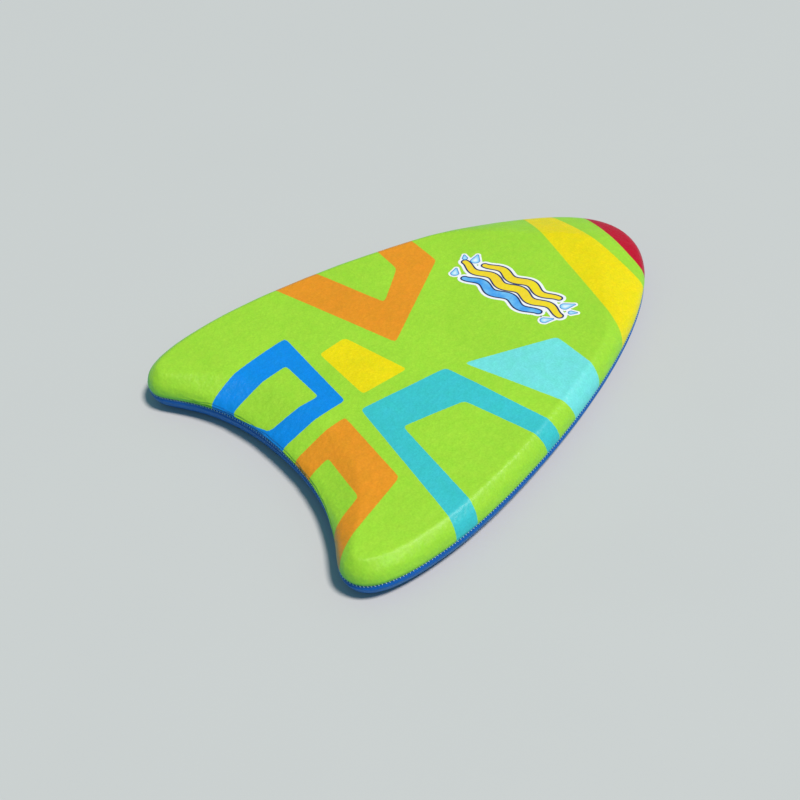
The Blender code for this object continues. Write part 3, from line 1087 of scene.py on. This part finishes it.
def emblem(cover, made):
    """Film cut round its own artwork, lying on the cloth, its sides sunk into it."""
    u, v, marks, halo = emblem_artwork()
    u_cut, v_cut, quads = trimmed(u, v, halo)
    used, quads = np.unique(quads, return_inverse=True)
    quads = quads.reshape(-1, 4)
    rim, sides = film_sides(quads, len(used))
    kept = np.concatenate([used, used[rim]])
    x = (EMBLEM_CENTRE[0] + u_cut).reshape(-1)[kept]
    y = (EMBLEM_CENTRE[1] + v_cut + EMBLEM_RISE * u).reshape(-1)[kept]
    flat = np.column_stack([x, y]) * MM
    tree = BVHTree.FromObject(cover, bpy.context.evaluated_depsgraph_get())
    points = []
    for place in flat:
        found = tree.ray_cast(Vector((*place, 2 * DECK_Z)), Vector((0, 0, -1)))[0]
        points.append((*place, found.z + EMBLEM_FILM))
    points = np.array(points)
    points[len(used):, 2] -= 2 * EMBLEM_FILM
    mesh = bpy.data.meshes.new("emblem_film")
    mesh.from_pydata(points.tolist(), [], np.concatenate([quads, sides]).tolist())
    add_vectors(mesh, "cloth", np.column_stack([flat, 0 * x]))
    for name, distance in marks.items():
        add_values(mesh, name, distance.reshape(-1)[kept])
    return show("emblem_film", mesh, made)


# ---- stage

def build_stage():
    bpy.ops.mesh.primitive_plane_add(size=FLOOR_SIZE)
    floor = bpy.context.object
    floor.name = "floor"
    floor.data.materials.append(floor_look())

    world = bpy.data.worlds.new("studio")
    world.use_nodes = True
    air = Nodes(world.node_tree)
    seen = air.add("LightPath", "Is Camera Ray", {})
    colour = air.mix(seen.node.outputs["Is Glossy Ray"], FILL, SHINE)
    air.put(world.node_tree.nodes["Background"].inputs["Color"], air.mix(seen, colour, BACKDROP))
    bpy.context.scene.world = world

    light = bpy.data.lights.new("key", "SUN")
    light.angle = math.radians(LIGHT_SPREAD)
    light.energy = LIGHT_STRENGTH
    light.color = LIGHT_COLOUR
    lamp = bpy.data.objects.new("key", light)
    lamp.rotation_mode = "QUATERNION"
    lamp.rotation_quaternion = Vector(LIGHT_TOWARDS).to_track_quat("Z", "Y")
    bpy.context.scene.collection.objects.link(lamp)
    bpy.context.scene.view_settings.view_transform = "Standard"


def build_camera():
    """Looks over the right side from behind, aimed off the board's centre and rolled."""
    azimuth = math.radians(CAMERA_AZIMUTH)
    elevation = math.radians(CAMERA_ELEVATION)
    roll = math.radians(CAMERA_ROLL)
    right = Vector((math.cos(azimuth), math.sin(azimuth), 0))
    back = Vector((math.sin(azimuth), -math.cos(azimuth), 0)) * math.cos(elevation)
    back += Vector((0, 0, math.sin(elevation)))
    eye = CENTRE + back * CAMERA_DISTANCE
    target = CENTRE + right * CAMERA_AIM[0] + back.cross(right) * CAMERA_AIM[1]
    axis = (eye - target).normalized()
    level = Vector((0, 0, 1)).cross(axis).normalized()
    upright = axis.cross(level)
    side = level * math.cos(roll) - upright * math.sin(roll)
    top = upright * math.cos(roll) + level * math.sin(roll)
    camera = bpy.data.objects.new("camera", bpy.data.cameras.new("camera"))
    camera.data.lens = CAMERA_LENS
    camera.matrix_world = Matrix.Translation(eye) @ Matrix((side, top, axis)).transposed().to_4x4()
    bpy.context.scene.collection.objects.link(camera)
    bpy.context.scene.camera = camera


def paint(node, made):
    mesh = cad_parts[node].data
    mesh.materials.clear()
    mesh.materials.append(made)


def stand_for(thing, slot, *nodes):
    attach(thing, "root")
    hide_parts(*nodes)


def build():
    line = seam_line(STATIONS)
    light_thread = thread_look("light_thread", LIGHT_THREAD)
    green_thread = thread_look("green_thread", GREEN_THREAD)
    dark_thread = thread_look("dark_thread", DARK_THREAD)
    printed_knit = knit("printed_knit", print_colours)
    top = panel("cover_top", line, upper_profiles(line), 1, top_relief, TOP_SEEDS["cut"], printed_knit)
    print_pattern(top.data)
    plain_knit = knit("plain_knit", plain_colours)
    under = panel("cover_under", line, lower_profiles(line), -1, under_relief, UNDER_SEEDS["cut"], plain_knit)
    stand_for(top, "print_cloth", "cover_top_panel")
    stand_for(under, "plain_cloth", "cover_bottom_panel")
    stand_for(seam_stitches(light_thread), "light_thread", "seam_thread")
    stand_for(closing_stitches(top, green_thread), "green_thread", "tail_closing_thread")
    stand_for(emblem(top, film_look()), "film", "emblem_transfer")
    paint("foam_core", foam_look())
    paint("overlock_thread_upper", green_thread)
    paint("overlock_thread_lower", dark_thread)
    build_stage()
    build_camera()


build()
